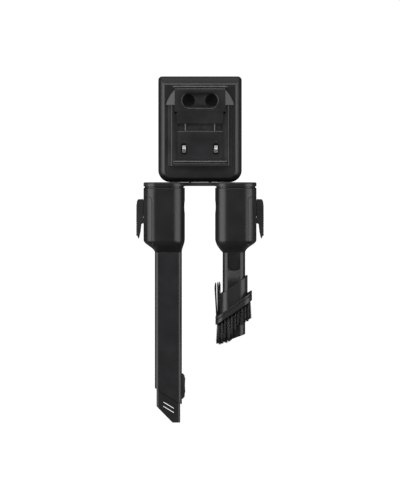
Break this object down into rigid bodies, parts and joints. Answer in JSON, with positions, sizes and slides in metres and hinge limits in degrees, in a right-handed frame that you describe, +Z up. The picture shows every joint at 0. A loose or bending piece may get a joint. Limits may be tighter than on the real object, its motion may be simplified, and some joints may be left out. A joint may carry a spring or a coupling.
{
  "type": "vacuum cleaner wall dock",
  "caption": "Wall-mounted charging dock for a cordless stick vacuum, with an extending crevice tool and a brush tool on its holder.",
  "frame": {"origin": "centre of the dock's flat back face, which lies on the wall", "axes": "+Z up, -Y out of the wall towards the user, +X to the user's right"},
  "size_m": [0.1634, 0.067, 0.4431],
  "materials": {
    "housing": "fine-grained moulded plastic",
    "cradle": "fine-grained moulded plastic",
    "nickel": "nickel plate",
    "steel": "zinc-plated",
    "board": "solder mask",
    "components": "moulded",
    "inlet": "smooth",
    "grip": "ribbed soft plastic",
    "latch": "fine-grained moulded plastic",
    "tube": "satin moulded plastic",
    "collar": "satin moulded plastic",
    "bristle": "nylon filament",
    "seal": "soft rubber"
  },
  "bodies": {
    "dock": {"rear_cover": "housing", "front_cover": "housing", "cover_screws": "steel", "cradle_frame": "cradle", "hanger_panel": "cradle", "contact_plate": "cradle", "locating_pins": "steel", "holder_post_left": "housing", "holder_post_right": "housing", "charging_board": "board", "board_components": "components", "board_screws": "steel", "power_inlet": "inlet", "accessory_bracket": "housing", "bracket_screws": "steel", "post_screws": "steel"},
    "contact_left": {"charge_contact_left": "nickel", "contact_spring_left": "steel"},
    "contact_right": {"charge_contact_right": "nickel", "contact_spring_right": "steel"},
    "crevice_tool": {"crevice_socket": "housing", "crevice_side_cover": "housing", "crevice_latch_pin": "steel", "crevice_latch_spring": "steel", "crevice_outer_tube": "tube", "button_housing": "tube", "button_pin": "steel"},
    "crevice_latch": {"crevice_latch": "latch", "crevice_latch_pad": "grip"},
    "crevice_nozzle": {"crevice_inner_nozzle": "tube"},
    "extension_button": {"extension_button": "latch"},
    "brush_tool": {"brush_tool_socket": "housing", "brush_tool_side_cover": "housing", "brush_tool_latch_pin": "steel", "brush_tool_latch_spring": "steel", "nozzle_tube": "tube"},
    "brush_tool_latch": {"brush_tool_latch": "latch", "brush_tool_latch_pad": "grip"},
    "brush_collar": {"brush_collar": "collar", "brush_band": "collar", "front_bristles": "bristle", "rear_tufts": "bristle", "collar_ring": "seal"}
  },
  "joints": [
    {"name": "contact_left_press", "type": "slide", "parent": "dock", "child": "contact_left", "axis": [0, 1, 0], "range_m": [0, 0.0015], "stiffness_N_per_m": 300, "springref_m": -0.002},
    {"name": "contact_right_press", "type": "slide", "parent": "dock", "child": "contact_right", "axis": [0, 1, 0], "range_m": [0, 0.0015], "stiffness_N_per_m": 300, "springref_m": -0.002},
    {"name": "crevice_tool_pull", "type": "slide", "parent": "dock", "child": "crevice_tool", "axis": [0, 0, -1], "range_m": [0, 0.06]},
    {"name": "crevice_latch_rock", "type": "hinge", "parent": "crevice_tool", "child": "crevice_latch", "pos_m": [-0.0686, -0.036, -0.117], "axis": [0, -1, 0], "range_deg": [0, 7], "stiffness_Nm_per_rad": 0.4, "springref_deg": -8.59},
    {"name": "nozzle_extend", "type": "slide", "parent": "crevice_tool", "child": "crevice_nozzle", "axis": [0, 0, -1], "range_m": [0, 0.11]},
    {"name": "extension_button_rock", "type": "hinge", "parent": "crevice_tool", "child": "extension_button", "pos_m": [-0.0209, -0.036, -0.3315], "axis": [0, -1, 0], "range_deg": [0, 4.5], "stiffness_Nm_per_rad": 0.1, "springref_deg": -11.46},
    {"name": "brush_tool_pull", "type": "slide", "parent": "dock", "child": "brush_tool", "axis": [0, 0, -1], "range_m": [0, 0.06]},
    {"name": "brush_latch_rock", "type": "hinge", "parent": "brush_tool", "child": "brush_tool_latch", "pos_m": [0.0686, -0.036, -0.117], "axis": [0, 1, 0], "range_deg": [0, 7], "stiffness_Nm_per_rad": 0.4, "springref_deg": -8.59},
    {"name": "brush_collar_slide", "type": "slide", "parent": "brush_tool", "child": "brush_collar", "axis": [0, 0, -1], "range_m": [0, 0.02]}
  ]
}
